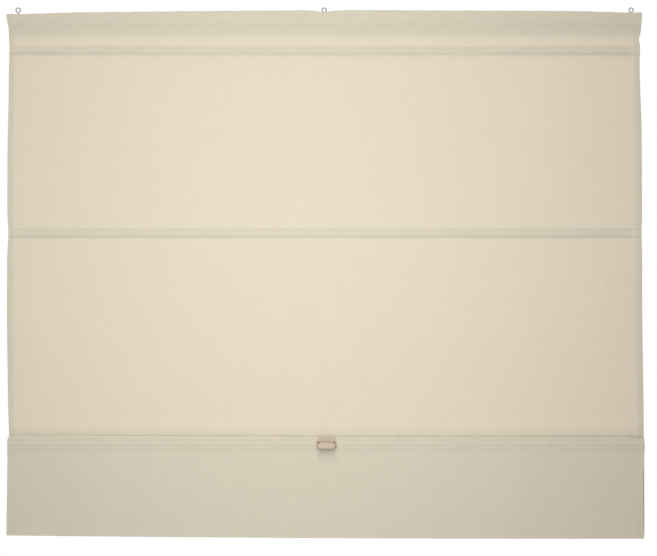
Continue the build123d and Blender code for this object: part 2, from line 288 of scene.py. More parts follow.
# %% Section curves
def bend_path(points, radii, arc_steps=16):
    """Straight runs joined by tangent arcs. Each arc swings a radius from one run's foot to the next."""
    points = np.asarray(points, float)
    parts = [points[:1]]
    for before, corner, after, radius in zip(points, points[1:], points[2:], radii):
        back, ahead = before - corner, after - corner
        back, ahead = back / np.linalg.norm(back), ahead / np.linalg.norm(ahead)
        half = np.arccos(np.clip(back @ ahead, -1, 1)) / 2
        bisector = (back + ahead) / np.linalg.norm(back + ahead)
        centre = corner + bisector * radius / np.sin(half)
        start = corner + back * radius / np.tan(half) - centre
        end = corner + ahead * radius / np.tan(half) - centre
        sweep = np.pi - 2 * half
        share = np.linspace(0, 1, arc_steps)[:, None]
        arc = (np.sin((1 - share) * sweep) * start + np.sin(share * sweep) * end) / np.sin(sweep)
        parts.append(centre + arc)
    parts.append(points[-1:])
    return np.vstack(parts)


def path_length(path):
    """The length of a section curve."""
    return float(np.linalg.norm(np.diff(path, axis=0), axis=1).sum())


def crowd(length, coarse, fine=None, lines=(), reach=4 * MM):
    """Row positions along a length: spacing is coarse, and falls to fine near each line."""
    at = np.linspace(0, length, 6001)
    density = np.full_like(at, 1 / coarse)
    for line in lines:
        density += (1 / fine - 1 / coarse) * np.exp(-((at - line) / reach) ** 2)
    count = np.concatenate([[0], np.cumsum((density[1:] + density[:-1]) / 2 * np.diff(at))])
    steps = int(np.ceil(count[-1]))
    return np.interp(np.linspace(0, count[-1], steps + 1), count, at)


def along(path, rows):
    """Points of a section curve at the given lengths, and its unit normals, to the left turned back."""
    step = np.linalg.norm(np.diff(path, axis=0), axis=1)
    keep = np.concatenate([[True], step > 1e-9])
    path = path[keep]
    length = np.concatenate([[0], np.cumsum(np.linalg.norm(np.diff(path, axis=0), axis=1))])

    def point(at):
        return np.stack([np.interp(at, length, path[:, i]) for i in (0, 1)], 1)

    tiny = 0.05 * MM
    tangent = point(rows + tiny) - point(rows - tiny)
    tangent /= np.linalg.norm(tangent, axis=1)[:, None]
    return point(rows), np.stack([-tangent[:, 1], tangent[:, 0]], 1)


print("a 20 mm turn on two 100 mm runs is",
      round(path_length(bend_path([(0, 0), (0, -0.1), (0.1, -0.1)], [0.02])), 4), "m long")

# %% [markdown]
# ## Side hems
# The two side edges are turned to the back and sewn. In plan the sheet therefore runs
# from the inner edge of one hem, round a tight bend at the blind's edge, across the
# front, and round to the other hem. That plan line is the second parameter of every
# length of cloth.

# %% The plan line with its side hems
HEM_WIDTH = 12 * MM
SEAM_IN = 10 * MM  # from the blind's edge to the hem's stitches
HEM_STEP = 1.1 * MM  # from the middle of the front layer to the middle of the turned layer
turn_radius = HEM_STEP / 2


def plan_line(column):
    """x and step back along the plan line: a flat run, a half circle at each side, a flat run."""
    edge = half_width - CLOTH / 2 - turn_radius
    seam = (SEAM_IN - (half_width - edge)) / MM
    near_seam = [seam + offset for offset in (-3.55, -1.85, -0.85, 0, 0.85, 1.85, 3.95)]
    side = edge - np.array([0, 1.5, 4, *near_seam, 17, 23, 30]) * MM
    inner = np.arange(-side[-1] + column, side[-1] - column / 2, column)
    front = np.unique(np.concatenate([-side, inner, side]))
    angle = np.linspace(np.pi, 0, 7)[1:-1]
    turn_x = edge + turn_radius * np.sin(angle)
    turn_y = turn_radius * (1 - np.cos(angle))
    inner_edge = HEM_WIDTH / MM - 0.8
    hem_x = edge - np.array([inner_edge, seam + 1.05, seam, seam - 1.05, 5.5, 3, 0]) * MM
    assert np.all(np.diff(hem_x) > 0), "the turned layer must run one way only"
    behind = np.full_like(hem_x, HEM_STEP)
    x = np.concatenate([-hem_x, -turn_x, front, turn_x[::-1], hem_x[::-1]])
    step = np.concatenate([behind, turn_y, np.zeros_like(front), turn_y[::-1], behind])
    return x, step


COLUMN = 5.5 * MM
plan_x, plan_step = plan_line(COLUMN)
plan_u = np.concatenate([[0], np.cumsum(np.hypot(np.diff(plan_x), np.diff(plan_step)))])
print("plan line:", len(plan_x), "columns,", round(plan_u[-1], 4), "m of cloth across")

# %% [markdown]
# ## How the cloth lies
# Real cloth is never flat. Three things bend it here: broad, slow waves between the
# rods, the pull of the seams, which dimples the cloth and puckers it every few
# centimetres, and the rods themselves, which fill their pockets so that the cloth
# stands proud between the two seam lines. All are sums of sines and bell curves of
# x and z, so neighbouring lengths of cloth meet exactly at their shared edge.

# %% Waves, puckers and pockets
SEAM = 8.8 * MM  # from the middle of a rod or the rail to each of its seam lines
SIDE_SEAM = half_width - SEAM_IN
UPPER_DIP, LOWER_DIP, SIDE_DIP = 0.6 * MM, 1.1 * MM, 0.3 * MM


def bell(distance, width):
    """A bell curve: one at zero distance, falling to 0.37 at the width."""
    return np.exp(-(distance / width) ** 2)


def ease(value):
    """Rises smoothly from 0 to 1 as value goes from 0 to 1."""
    value = np.clip(value, 0, 1)
    return value * value * (3 - 2 * value)


def ripple(x, seed, shortest, longest, waves=6):
    """A sum of sines along x with seeded wavelengths and phases, about 1 at its largest."""
    draw = np.random.default_rng(seed)
    lengths = draw.uniform(shortest, longest, waves)
    starts = draw.uniform(0, 2 * np.pi, waves)
    sines = [np.sin(2 * np.pi * x / length + start) for length, start in zip(lengths, starts)]
    return np.sum(sines, axis=0) / np.sqrt(2 * waves)


def sewn(x, z):
    """Depth that the seams give: a dimple on each seam line and puckers dying away from it."""
    depth = np.zeros(np.broadcast(x, z).shape)
    for number, height in enumerate(rod_z):
        for side in (-1, 1):
            line = height + side * SEAM
            seed = 10 + 2 * number + (side + 1) // 2
            dip = UPPER_DIP if side > 0 else LOWER_DIP
            depth = depth + dip * bell(z - line, 1.6 * MM)
            depth = depth + 0.30 * MM * ripple(x, seed, 14 * MM, 46 * MM) * bell(z - line, 11 * MM)
    return depth


def filled(z):
    """Depth that a rod gives: the cloth stands forward between its two seam lines."""
    depth = np.zeros_like(z)
    for height in rod_z:
        inside = np.clip((z - height) / SEAM, -1, 1)
        depth = depth - 1.4 * MM * np.cos(inside * np.pi / 2) ** 2
    return depth


def waves(x, z):
    """Broad waves between the rods: each span bellies a little and rolls along x."""
    depth = np.zeros(np.broadcast(x, z).shape)
    edges = [top_edge - 27 * MM, *rod_z, loop_low]
    for number, (high, low) in enumerate(zip(edges, edges[1:])):
        share = np.clip((high - z) / (high - low), 0, 1)
        belly = np.sin(np.pi * share) ** 2
        size = min(1.0, (high - low) / (250 * MM))
        roll = ripple(x, 40 + number, 150 * MM, 520 * MM)
        cross = ripple(x + 0.35 * z, 60 + number, 90 * MM, 260 * MM)
        depth = depth + size * belly * (1.5 * MM * roll + 0.7 * MM * cross)
    return depth


def leaning(z):
    """Depth above the raised rail, where the slack above rod 3 bellies forward over the fold."""
    return -1.6 * MM * bell(z - rail_z - 32 * MM, 12 * MM)


def side_dip(x):
    """Depth of the two side-hem seams, which run the full height."""
    return SIDE_DIP * bell(np.abs(x) - SIDE_SEAM, 1.5 * MM)


def lie(x, z):
    """The whole depth offset of the hanging sheet. Positive is towards the wall."""
    return waves(x, z) + sewn(x, z) + filled(z) + leaning(z) + side_dip(x)


def draw_in(x, left, right, shift):
    """Moves points along x: all by shift, and each side inwards by its own amount at the edge."""
    pull = np.where(x < 0, left, right) * MM * (np.abs(x) / half_width) ** 8
    return x + shift * MM - np.sign(x) * pull


BASE_LEFT = 2.1  # millimetres; the left edge is cut a little short
SWAY = 2.6  # millimetres; the raised lower part hangs a little to the right


def waist(x, z):
    """How the side edges draw in: under the header, at the rods, and where the pleat starts."""
    left = BASE_LEFT + 3.6 * bell(z + 62 * MM, 60 * MM) + 2.2 * bell(z + 170 * MM, 70 * MM)
    left = left + 2.6 * bell(z - rod_z[1], 30 * MM) + 2.6 * bell(z - rail_z, 60 * MM)
    right = 4.3 * bell(z + 105 * MM, 95 * MM) + 3.6 * bell(z + 45 * MM, 9 * MM)
    right = right + 1.0 * bell(z - rod_z[1], 30 * MM)
    below = ease((8 * MM - z) / (28 * MM))
    return draw_in(x, left * below, right * below, SWAY * ease((-620 * MM - z) / (280 * MM)))


sample = lie(np.linspace(-half_width, half_width, 500)[None, :], np.linspace(-0.9, -0.1, 400)[:, None])
print("the sheet lies between", round(sample.min() / MM, 2), "and", round(sample.max() / MM, 2), "mm")

# %% [markdown]
# ## From grid to mesh
# The points of a length of cloth form a grid. Each square of the grid becomes a face,
# the UV map stores distance across and along in metres, and a Solidify modifier gives
# the sheet its thickness. The grid's border is marked sharp, so that shading doesn't
# round over the cut edge.

# %% Mesh builders
def grid_faces(rows, columns):
    """Corner numbers of every square of a grid, wound to face the room."""
    number = np.arange(rows * columns).reshape(rows, columns)
    corners = [number[:-1, :-1], number[1:, :-1], number[1:, 1:], number[:-1, 1:]]
    return np.stack(corners, -1).reshape(-1, 4)


def mesh_piece(name, points, faces, material, smooth=True):
    """A mesh object from an array of points and an array of faces, at the origin."""
    mesh = bpy.data.meshes.new(name)
    mesh.from_pydata(points.reshape(-1, 3), [], faces)
    mesh.polygons.foreach_set("use_smooth", np.full(len(faces), smooth))
    mesh.materials.append(material)
    piece = bpy.data.objects.new(name, mesh)
    bpy.context.scene.collection.objects.link(piece)
    return piece


def sheet_piece(name, points, across, down, thickness, material):
    """A grid of points as a sheet with a UV map in metres, sharp borders and a thickness."""
    rows, columns = points.shape[:2]
    faces = grid_faces(rows, columns)
    piece = mesh_piece(name, points, faces, material)
    mesh = piece.data
    uv = np.stack(np.broadcast_arrays(across[None, :], down[:, None]), -1).reshape(-1, 2)
    mesh.uv_layers.new(name="cloth").data.foreach_set("uv", uv[faces.ravel()].ravel())
    ends = np.empty(2 * len(mesh.edges), int)
    mesh.edges.foreach_get("vertices", ends)
    row, column = np.divmod(ends.reshape(-1, 2), columns)
    same_row, same_column = row[:, 0] == row[:, 1], column[:, 0] == column[:, 1]
    border = same_row & np.isin(row[:, 0], (0, rows - 1))
    border |= same_column & np.isin(column[:, 0], (0, columns - 1))
    mesh.attributes.new("sharp_edge", "BOOLEAN", "EDGE").data.foreach_set("value", border)
    solid = piece.modifiers.new("thickness", "SOLIDIFY")
    solid.thickness = thickness
    solid.offset = 0.0
    return piece


def carry(path, rows, shape, start=0.0):
    """Carries a section curve along the plan line.

    A point is the curve at its row, moved along the curve's normal by the plan line's
    step back, then by shape(x, z, row), which gives a push in depth and in height and a
    change of the step.
    """
    curve, back = along(path, rows)
    x = np.broadcast_to(plan_x[None, :], (len(rows), len(plan_x)))
    z0 = np.broadcast_to(curve[:, 1][:, None], x.shape)
    push_y, push_z, more_step = shape(x, z0, rows[:, None])
    step = plan_step[None, :] + more_step
    y = curve[:, 0][:, None] + back[:, 0][:, None] * step + push_y
    z = curve[:, 1][:, None] + back[:, 1][:, None] * step + push_z
    return np.stack([x, y, z], -1), rows + start


pieces_made = {}


def cloth_length(name, path, rows, shape, outline, start=0.0):
    """One length of the sheet, with its outline drawn in, as a finished object."""
    points, down = carry(path, rows, shape, start)
    points[..., 0] = outline(points[..., 0], points[..., 2])
    piece = sheet_piece(name, points, plan_u, down, CLOTH, cotton)
    pieces_made[name] = (piece, plan_u[-1], float(rows[-1] - rows[0]))
    print(name, points.shape[:2], "flat", round(plan_u[-1], 3), "x", round(rows[-1] - rows[0], 3))


def hanging(x, z, row):
    """The push of cloth that simply hangs: its lie in depth, nothing else."""
    return lie(x, z), 0.0, 0.0


# %% [markdown]
# ## The header
# The sheet's top is wrapped round the slat from behind and closed by a seam just under
# it, with the raw flap left below the seam. The pocket is looser than the slat, so it
# stands up a few millimetres between the eyes, where the screws pin it down.

# %% Header cloth
FLAP_END = -39.5 * MM
POCKET_SEAM = -17 * MM
FLAP_STITCH = -30 * MM
flap_y = sheet_y + CLOTH
header_path = bend_path(
    [(flap_y, FLAP_END), (flap_y, POCKET_SEAM), (pocket_back - CLOTH / 2, POCKET_SEAM + 7 * MM),
     (pocket_back - CLOTH / 2, top_edge - CLOTH / 2), (pocket_front + CLOTH / 2, top_edge - CLOTH / 2),
     (pocket_front + CLOTH / 2, POCKET_SEAM + 8.6 * MM),
     (sheet_y - 2.4 * MM, POCKET_SEAM - 4 * MM), (sheet_y, POCKET_SEAM - 16 * MM),
     (sheet_y, header_low)],
    [radius * MM for radius in (1.5, 2.1, 2.6, 2.6, 10, 20, 20)])
header_length = path_length(header_path)
flap_length = POCKET_SEAM - FLAP_END
FRONT_RUN = 102 * MM  # cloth from the middle of the slat's top, down the front, to the header's end
ROD_ABOVE_END = 12 * MM  # rod 1 stands this far above the header's end
eye_x = [middle(f"screw_eye_{side}", ACROSS) for side in ("left", "centre", "right")]


def header_shape(x, z, row):
    """Lie of the header: loose top between the eyes, thick ends, puckers at the pocket seam."""
    from_end = header_length - row
    below = ease((POCKET_SEAM + 6 * MM - z) / (12 * MM))
    pocket = 1 - below
    outward = np.abs(x) / half_width
    # the loose top rises from each outer eye, most near the middle, and is held at the middle eye
    lift = 6.6 * MM * (1 - outward) ** 0.5 * (1 - 0.6 * bell(x - eye_x[1], 22 * MM))
    lift = lift + 1.9 * MM * x / half_width - 1.6 * MM * ease((np.abs(x) - 540 * MM) / (110 * MM))
    lift = lift + 0.45 * MM * ripple(x, 5, 30 * MM, 90 * MM) * (1 - bell(outward - 1, 0.04))
    pull = sum(bell(x - place, 9 * MM) for place in eye_x)
    lift = lift - 0.9 * MM * pull
    top = ease((z - (top_edge - 9 * MM)) / (8 * MM))
    push_z = lift * top
    puckers = 0.3 * MM * ripple(x, 6, 16 * MM, 55 * MM) * bell(z - FLAP_STITCH, 8 * MM)
    # the pocket's front and back both stand off the slat, never into it
    off_slat = np.where(from_end < FRONT_RUN, -1, 1)
    slack = 0.5 * MM * np.abs(ripple(x, 7, 60 * MM, 240 * MM)) * off_slat * pocket * (1 - top)
    dimple = 0.3 * MM * bell(z - FLAP_STITCH, 1.8 * MM)
    belly = -1.3 * MM * bell(z + 53 * MM, 12 * MM)
    # the hems make the sheet twice as thick at the ends, so the outer layer moves out there
    thick_end = ease((np.abs(x) - 682 * MM) / (5 * MM))
    in_pocket = ease((row - flap_length) / (8 * MM)) * pocket
    flap = ease((flap_length + 3 * MM - row) / (3 * MM))
    push_y = (lie(x, z) + puckers + dimple + belly) * below + slack * ease(from_end / (40 * MM))
    push_y = push_y + 2.4 * MM * thick_end * flap
    return push_y, push_z, -1.0 * MM * thick_end * in_pocket


header_rows = crowd(header_length, 6 * MM, 1.2 * MM,
                    [flap_length, flap_length + 8 * MM, flap_length + 28 * MM,
                     flap_length + 42 * MM, header_length - 64 * MM,
                     *(header_length - ROD_ABOVE_END + side * SEAM for side in (-1, 1))],
                    7 * MM)
cloth_length("header_sheet", header_path, header_rows, header_shape, waist)

# %% [markdown]
# ## The two hanging panels
# Between the rods the sheet hangs straight. When a pleat is raised, its upper half
# stays and its lower half folds up behind the rod that rises. Each panel is therefore
# modelled in two lengths that share the line where the fold would come.

# %% Upper and lower panels
upper_fold = (rod_z[0] + rod_z[1]) / 2
lower_fold = (rod_z[1] + rod_z[2]) / 2


def straight_length(name, high, low):
    """A flat length of hanging sheet between two heights, with rows crowded at the seams."""
    seams = [high - (z + side * SEAM) for z in rod_z for side in (-1, 1)
             if low - 20 * MM < z + side * SEAM < high + 20 * MM]
    rows = crowd(high - low, 9 * MM, 0.8 * MM, seams, 5 * MM)
    path = np.array([(sheet_y, high), (sheet_y, low)])
    cloth_length(name, path, rows, hanging, waist, header_length + header_low - high)


panels = {"upper_panel_still": (header_low, upper_fold),
          "upper_panel_folding": (upper_fold, upper_low),
          "lower_panel_still": (upper_low, lower_fold),
          "lower_panel_folding": (lower_fold, lower_low)}
for name, (high, low) in panels.items():
    straight_length(name, high, low)

# %% [markdown]
# ## The slack loop and the skirt
# Below rod 3 the sheet runs down behind the skirt, turns at the bottom of the loop,
# rises behind the rail, and folds forward over the rail's top edge. From the seam under
# that fold it hangs in front as the skirt, whose lower edge is turned up as a hem.

# %% Loop and skirt
LOOP_BEHIND = 5.4 * MM  # from the skirt's middle to the rising layer of the loop
LOOP_RAISED = 5.5 * MM  # keeps the turn above the doubled hem
TURN_REACH = 8 * MM  # straight run above the turn before the rising layer starts
SLIVER = 0.05 * MM  # straight cloth left between two arcs, so that they never overlap
bulge_y = band_y + LOOP_BEHIND
loop_radius = (sheet_y - bulge_y) / 2 - SLIVER
loop_bottom = loop_low + LOOP_RAISED
HANG_TILT = 3.6 * MM  # how far the loop's bottom and the hem slope on each side of the middle
rising_y = span("rail_pocket", DEPTH)[1] + 0.7 * MM
turn_end = loop_bottom + loop_radius + TURN_REACH
sheet_station = header_length + header_low - lower_low


def hang_tilt(x):
    """Height by which the loop's bottom and the hem hang off level at x, lowest at the right."""
    return 0.5 * MM - HANG_TILT * x / half_width + 2.2 * MM * (x / half_width) ** 2


def loop_back_shape(x, z, row):
    """Lie of the back of the loop, calm where it turns; the turn itself sags unevenly."""
    calm = ease((z - turn_end) / (60 * MM))
    past = ease((row - (lower_low - loop_bottom)) / (3 * MM))
    low = np.clip((turn_end - z) / (turn_end - loop_bottom), 0, 1)
    sag = (0.8 * MM * ripple(x, 21, 120 * MM, 420 * MM) + hang_tilt(x)) * low
    return lie(x, z) * calm * (1 - past), sag, 0.0


back_path = bend_path([(sheet_y, lower_low), (sheet_y, loop_bottom), (bulge_y, loop_bottom),
                       (bulge_y, turn_end)], [loop_radius, loop_radius])
back_length = path_length(back_path)
rod_3_seams = [lower_low - (rod_z[2] + side * SEAM) for side in (-1, 1)]
turn_at = back_length - TURN_REACH - 6.5 * MM
back_rows = crowd(back_length, 9 * MM, 0.8 * MM, [*rod_3_seams, turn_at], 6 * MM)
cloth_length("loop_back", back_path, back_rows, loop_back_shape, waist, sheet_station)


def tucked(x, z):
    """Outline of the cloth behind the rail and of the fold over it: drawn in a little at its top."""
    pull = 1.2 * ease((z - (rail_z - 60 * MM)) / (40 * MM)) + 2.6 * ease((z - fold_start) / (4 * MM))
    return draw_in(x, BASE_LEFT + pull, pull, SWAY)


def loop_front_shape(x, z, row):
    """Lie of the rising layer: slow waves that die out at its two ends."""
    span_share = ease((z - turn_end) / (50 * MM)) * ease((rail_z - 30 * MM - z) / (60 * MM))
    return 0.8 * MM * ripple(x, 24, 160 * MM, 400 * MM) * span_share, 0.0, 0.0


front_path = bend_path([(bulge_y, turn_end), (rising_y, rail_z - 25 * MM), (rising_y, fold_start)],
                       [60 * MM])
front_length = path_length(front_path)
cloth_length("loop_front", front_path, crowd(front_length, 8 * MM), loop_front_shape, tucked,
             sheet_station + back_length)

fold_radius = (rising_y - band_y) / 2 - SLIVER
fold_top = fold_start + fold_radius + SLIVER


def fold_shape(x, z, row):
    """The fold over the rail stands a little higher at the left end and sags past the rail's ends."""
    share = ease((z - fold_start) / (fold_top - fold_start))
    tilt = (-1.6 * x / half_width + 1.0 * (x / half_width) ** 2 - 0.5) * MM
    sag = -1.6 * MM * ease((np.abs(x) - 676 * MM) / (20 * MM))
    uneven = 0.35 * MM * ripple(x, 25, 40 * MM, 160 * MM)
    return 0.0, share * (tilt + sag + uneven), 0.0


fold_path = bend_path([(rising_y, fold_start), (rising_y, fold_top), (band_y, fold_top),
                       (band_y, fold_start)], [fold_radius, fold_radius])
fold_rows = crowd(path_length(fold_path), 0.9 * MM)
cloth_length("loop_fold", fold_path, fold_rows, fold_shape, tucked,
             sheet_station + back_length + front_length)

# %% Skirt cloth
RAIL_SEAM = rail_z - SEAM
HEM_DEPTH = 6 * MM
HEM_SEAM = hem_low + HEM_DEPTH - 1.2 * MM
BACK_ROOM = 3.2 * MM  # how far back the skirt can be pushed before it meets the loop
skirt_bottom = hem_low + CLOTH / 2
skirt_path = bend_path(
    [(band_y, fold_start), (band_y, skirt_bottom), (band_y + HEM_STEP, skirt_bottom),
     (band_y + HEM_STEP, hem_low + HEM_DEPTH)], [turn_radius * 0.98, turn_radius * 0.98])
skirt_length = path_length(skirt_path)
skirt_front = fold_start - skirt_bottom


def skirt_shape(x, z, row):
    """Lie of the skirt: flat over the rail, dimpled at its seam, then waves growing to the hem."""
    down = np.clip((RAIL_SEAM - z) / (RAIL_SEAM - skirt_bottom), 0, 1)
    roll = 1.3 * MM * ripple(x, 31, 140 * MM, 460 * MM) + 0.5 * MM * ripple(x, 32, 70 * MM, 180 * MM)
    pucker = 0.35 * MM * ripple(x, 33, 14 * MM, 44 * MM) * bell(z - RAIL_SEAM, 10 * MM)
    dimple = 0.9 * MM * bell(z - RAIL_SEAM, 1.8 * MM) + 1.9 * MM * ease(down * 20)
    hem_line = 0.6 * MM * bell(z - HEM_SEAM, 1.3 * MM) - 0.4 * MM * ease((HEM_SEAM - z) / (2 * MM))
    near_rail = ease((fold_start - z) / (6 * MM))
    push = (roll * ease(down * 1.4) + pucker + dimple + hem_line) * near_rail + side_dip(x)
    # the loop stops it from swinging far back, and the rail behind stops it altogether
    push = np.where(push > 0, BACK_ROOM * np.tanh(push / BACK_ROOM), push)
    push = np.where(z > rail_z - 7.2 * MM, np.minimum(push, 0.05 * MM), push)
    # the turned-up hem lies behind the side hems, so it stands further back at the ends
    behind = ease((row - skirt_front) / (1.5 * MM))
    thick_end = ease((np.abs(x) - 680 * MM) / (6 * MM))
    # the skirt hangs a few millimetres lower at its right end
    tilt = hang_tilt(x) * ease(down * 1.2)
    return push + 2.3 * MM * behind * thick_end, tilt, 0.0


def skirt_outline(x, z):
    """The skirt's outline: pulled in at its top corners, and the lower left corner rubbed round."""
    left = BASE_LEFT + 1.2 * bell(z - fold_start, 4 * MM) + 1.2 * bell(z + 1.02, 60 * MM)
    left = left + 3.4 * bell(z - skirt_bottom, 4.5 * MM)
    right = 1.2 * bell(z - fold_start, 4 * MM) - 0.8 * bell(z - RAIL_SEAM, 12 * MM)
    right = right + 1.0 * bell(z + 1.03, 60 * MM) + 0.3 * bell(z - skirt_bottom, 3 * MM)
    return draw_in(x, left, right, SWAY - 1.2 * ease((RAIL_SEAM - z) / (100 * MM)))


skirt_rows = crowd(skirt_length, 9 * MM, 0.7 * MM,
                   [fold_start - RAIL_SEAM, skirt_front - HEM_DEPTH, skirt_front + 0.6 * MM,
                    skirt_length], 4 * MM)
cloth_length("skirt_sheet", skirt_path, skirt_rows, skirt_shape, skirt_outline,
             sheet_station + back_length + front_length)

# %% [markdown]
# ## Pocket tapes
# Each rod slides into a tape sewn to the back of the sheet along both its edges. The
# tape's section is flat where it is sewn and stands back round the rod and its magnets.
# The rail has the same kind of pocket, deeper.

# %% Tapes
TAPE_INSET = 5.5 * MM  # the tapes end clear of the side hems where the cloth is drawn in
TAPE_EDGE = 10.5 * MM  # from the middle of a rod or the rail to the tape's sewn edge
ROD_SHOULDER, RAIL_SHOULDER = 7.2 * MM, 7.7 * MM  # half the height of a pocket's standing part


def tape(name, height, plane_y, back_y, shoulder, top, follow):
    """A tape pocket: flat edges on the cloth, straight shoulders, flat back; follow is the cloth's lie."""
    edge_y = plane_y + CLOTH / 2 + TAPE / 2
    back = back_y - TAPE / 2
    points = [(edge_y, height + top), (edge_y, height + shoulder + 0.6 * MM),
              (back, height + shoulder - 0.2 * MM), (back, height - shoulder + 0.2 * MM),
              (edge_y, height - shoulder - 0.6 * MM), (edge_y, height - TAPE_EDGE)]
    path = bend_path(points, [0.3 * MM, 0.9 * MM, 0.9 * MM, 0.3 * MM], 8)
    rows = crowd(path_length(path), 1.1 * MM)
    curve, _ = along(path, rows)
    low = span(name, ACROSS)[0] + TAPE_INSET
    high = span(name, ACROSS)[1] - TAPE_INSET
    x = np.linspace(low, high, 250)
    xx, zz = np.meshgrid(x, curve[:, 1])
    loose = np.clip((curve[:, 0] - edge_y) / (back - edge_y), 0, 1)[:, None]
    slack = 0.25 * MM * loose * ripple(xx, len(name), 30 * MM, 120 * MM)
    y = curve[:, 0][:, None] + follow(xx, zz) * (1 - 0.8 * loose) - np.abs(slack)
    points = np.stack([xx, y, zz], -1)
    piece = sheet_piece(name + "_tape", points, x - low, rows, TAPE, pocket_tape)
    pieces_made[name + "_tape"] = (piece, high - low, float(rows[-1]))


def sheet_follow(x, z):
    """The part of the sheet's lie that a tape sewn to it shares."""
    return waves(x, z) + sewn(x, z)


for number, height in enumerate(rod_z, start=1):
    tape(f"rod_pocket_{number}", height, sheet_y, span(f"rod_pocket_{number}", DEPTH)[1],
         ROD_SHOULDER, TAPE_EDGE, sheet_follow)


def skirt_follow(x, z):
    """The skirt's lie on its front face."""
    return skirt_shape(x, z, fold_start - z)[0]


def band_follow(x, z):
    """The skirt's lie near the rail, shared by the rail's tape."""
    return skirt_follow(x, z) * (z < rail_z)


tape("rail_pocket", rail_z, band_y, span("rail_pocket", DEPTH)[1], RAIL_SHOULDER,
     fold_start - rail_z, band_follow)
print("tapes made")

# %% [markdown]
# ## Stitches
# Seams are lockstitched: on each face the thread shows as a row of short, slightly
# sunken dashes. One small dash with pointed ends is copied along every seam by array
# arithmetic, at 4 mm spacing, on the face and the back of the cloth.

# %% Stitch maker
STITCH, GAP, THREAD = 3.0 * MM, 4.0 * MM, 0.24 * MM


def dash():
    """One stitch: five rings of a six-sided tube whose radius and height follow half a sine."""
    share = np.linspace(0, 1, 5)
    angle = np.linspace(0, 2 * np.pi, 6, endpoint=False)
    radius = THREAD * (0.45 + 0.55 * np.sin(np.pi * share))
    rise = THREAD * np.sin(np.pi * share)
    length = (share[:, None] - 0.5) * STITCH + 0 * angle
    out = rise[:, None] + radius[:, None] * np.cos(angle) - 0.5 * THREAD
    side = radius[:, None] * np.sin(angle)
    return np.stack([length, out, side], -1).reshape(-1, 3)


def dash_faces():
    """Faces of one stitch: the tube's squares, closed round, and a cap on each end."""
    ring = np.arange(6)
    quads = [np.stack([6 * r + ring, 6 * r + (ring + 1) % 6, 6 * r + 6 + (ring + 1) % 6,
                       6 * r + 6 + ring], -1) for r in range(4)]
    quads = np.concatenate(quads)[:, ::-1]
    start, end = [[0, 1, 2, 3], [0, 3, 4, 5]], [[27, 26, 25, 24], [29, 28, 27, 24]]
    return np.concatenate([quads, start, end])


def stitches(name, centres, directions, outs):
    """Copies the dash to every centre: its length along direction, its rise along out."""
    shape = dash()
    sides = np.cross(directions, outs)
    frames = np.stack([directions, outs, sides], 1)
    points = centres[:, None, :] + np.einsum("kc,nca->nka", shape, frames)
    faces = dash_faces()[None] + (np.arange(len(centres)) * len(shape))[:, None, None]
    return mesh_piece(name, points.reshape(-1, 3), faces.reshape(-1, 4), thread_white)


def level_row(half, height, face_y, follow, out):
    """Centres, directions and outward sides of a level seam from -half to half across."""
    x = np.arange(-half, half, GAP) + GAP / 2
    z = np.full_like(x, height)
    centres = np.stack([x, face_y + follow(x, z), z], -1)
    return centres, np.tile([1.0, 0, 0], (len(x), 1)), np.tile([0, out, 0.0], (len(x), 1))


seam_half = span("rod_pocket_1", ACROSS)[1] - TAPE_INSET - 1 * MM
stitch_pieces = {}


def sew(name, rows):
    """Makes one piece of all the rows of a seam, and keeps it by name."""
    parts = [np.concatenate(part) for part in zip(*rows)]
    stitch_pieces[name] = stitches(name, *parts)


for number, height in enumerate(rod_z, start=1):
    rows = []
    for side in (-1, 1):
        line = height + side * SEAM
        rows.append(level_row(seam_half, line, sheet_y - CLOTH / 2, lie, -1.0))
        rows.append(level_row(seam_half, line, sheet_y + CLOTH / 2 + TAPE, sheet_follow, 1.0))
    sew(f"rod_{number}_seams", rows)
print("stitch rows for", len(stitch_pieces), "rods")

# %% Header, rail and hem seams
def header_follow(x, z):
    """The header's lie on its front face at a height below the pocket."""
    return header_shape(x, z, np.full_like(z, header_length - 50 * MM))[0]


def skirt_drop(x):
    """How much lower the skirt hangs at x, near its hem."""
    return skirt_shape(x, np.full_like(x, hem_low + HEM_DEPTH), 0.2 + 0 * x)[1]


def faces_of(plane):
    """The face of the cloth on a plane, and the back of a hem turned behind it."""
    return plane - CLOTH / 2, plane + HEM_STEP + CLOTH / 2


full = half_width - 3 * MM
FLAP_BARE, HEM_BARE = 22 * MM, 24 * MM  # ends of the back faces left without thread
sew("header_seam", [
    level_row(full, FLAP_STITCH, sheet_y - 0.6 * MM - CLOTH / 2, header_follow, -1.0),
    level_row(full - FLAP_BARE, FLAP_STITCH, flap_y + CLOTH / 2, header_follow, 1.0)])
rows = [level_row(seam_half, RAIL_SEAM, band_y - CLOTH / 2, skirt_follow, -1.0)]
for face_y, out, bare in zip(faces_of(band_y), (-1.0, 1.0), (0.0, HEM_BARE)):
    centres, directions, outs = level_row(full - bare, HEM_SEAM, face_y, skirt_follow, out)
    centres[:, 2] += skirt_drop(centres[:, 0])
    rows.append((centres, directions, outs))
sew("skirt_seams", rows)


def side_rows(high, low, plane, follow, outline):
    """Both side-hem seams of a hanging length, on the face and on the back."""
    z = np.arange(low + GAP / 2, high, GAP)
    rows = []
    for side in (-1, 1):
        for face_y, out in zip(faces_of(plane), (-1.0, 1.0)):
            x = np.full_like(z, side * SIDE_SEAM)
            centres = np.stack([outline(x, z), face_y + follow(x, z), z], -1)
            rows.append((centres, np.tile([0, 0, 1.0], (len(z), 1)),
                         np.tile([0, out, 0.0], (len(z), 1))))
    return rows


